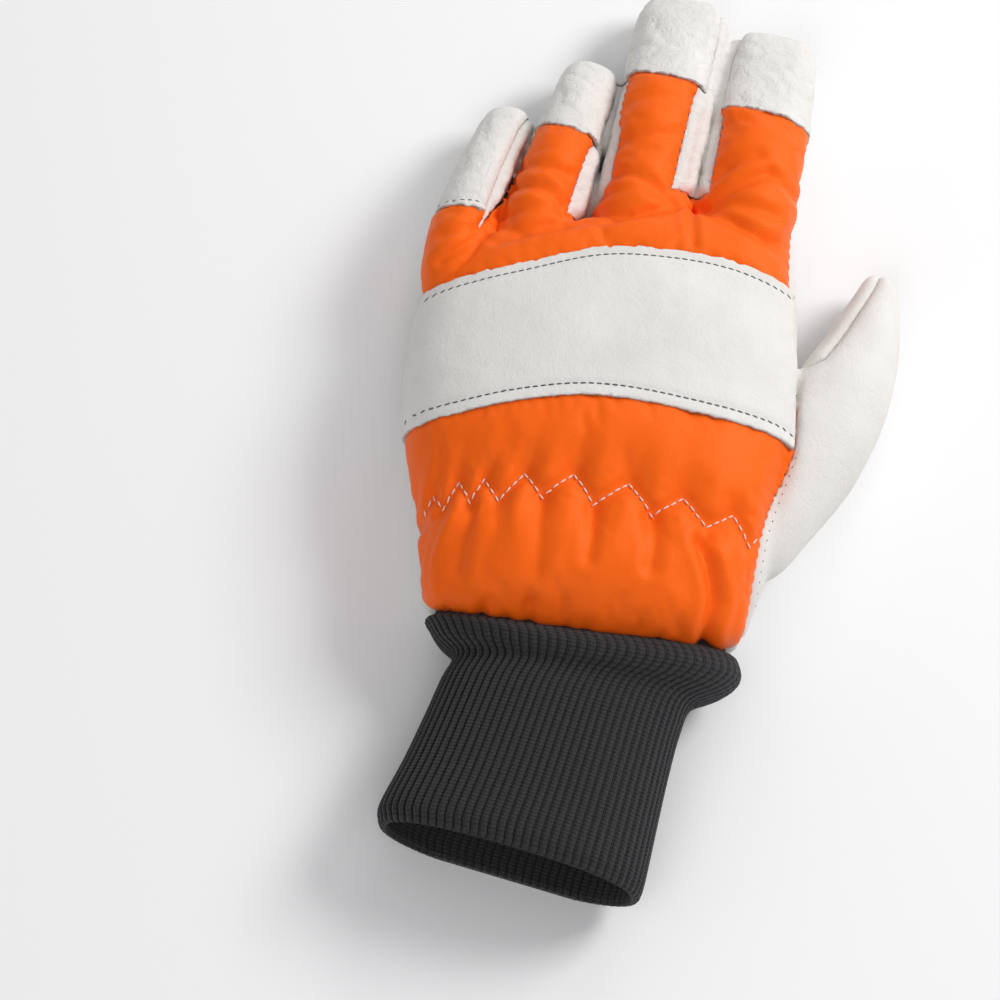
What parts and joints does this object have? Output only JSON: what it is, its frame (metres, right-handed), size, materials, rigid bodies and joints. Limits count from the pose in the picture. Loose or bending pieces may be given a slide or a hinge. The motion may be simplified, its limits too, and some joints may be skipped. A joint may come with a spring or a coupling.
{
  "type": "chainsaw glove",
  "caption": "Left-hand chainsaw glove with a padded fabric back, leather knuckle strap, leather palm, thumb and fingertips, and a rib-knit cuff, lying palm down",
  "frame": {"origin": "on the flat underside of the palm, below the heel of the hand", "axes": "+Y towards the fingertips, +X towards the thumb, +Z out of the back of the hand"},
  "size_m": [0.1434, 0.2817, 0.0473],
  "materials": {
    "orange_fabric": "tightly woven nylon with a slight sheen, padded and puckered along its seams",
    "white_leather": "matt warm white grain leather with fine creases and grey cut edges",
    "black_knit": "charcoal black rib knit with a little fuzz"
  },
  "bodies": {
    "root": {"back_panel": "orange_fabric", "knuckle_strap": "white_leather", "little_tip": "white_leather", "ring_tip": "white_leather", "middle_tip": "white_leather", "index_tip": "white_leather", "little_ring_wall": "white_leather", "ring_middle_wall": "white_leather", "middle_index_wall": "white_leather", "thumb_back": "white_leather", "thumb_front": "white_leather", "palm": "white_leather", "palm_strap": "white_leather", "rib_cuff": "black_knit"}
  },
  "joints": []
}
